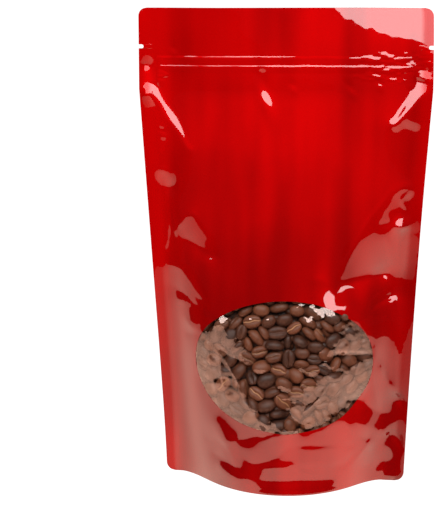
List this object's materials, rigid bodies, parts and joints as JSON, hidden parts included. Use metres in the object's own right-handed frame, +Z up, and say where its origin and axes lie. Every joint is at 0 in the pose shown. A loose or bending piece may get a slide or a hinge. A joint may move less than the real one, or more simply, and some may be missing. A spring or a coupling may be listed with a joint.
{
  "type": "stand-up pouch with window",
  "caption": "Filled stand-up pouch of glossy red film with a press-to-close zip, tear notches and a clear oval window showing roasted coffee beans.",
  "frame": {"origin": "middle of the pouch's foot, on the surface it stands on", "axes": "+Z up to the mouth, +X along the mouth to the right as seen from the window, the window faces -Y"},
  "size_m": [0.178, 0.0818, 0.292],
  "materials": {
    "red_film": "glossy red laminated film with a clear outer layer",
    "clear_film": "clear glossy film",
    "roasted_beans": "medium-dark roasted coffee with a faint oily sheen"
  },
  "bodies": {
    "root": {"pouch": "red_film", "window_pane": "clear_film", "coffee_beans": "roasted_beans"}
  },
  "joints": []
}
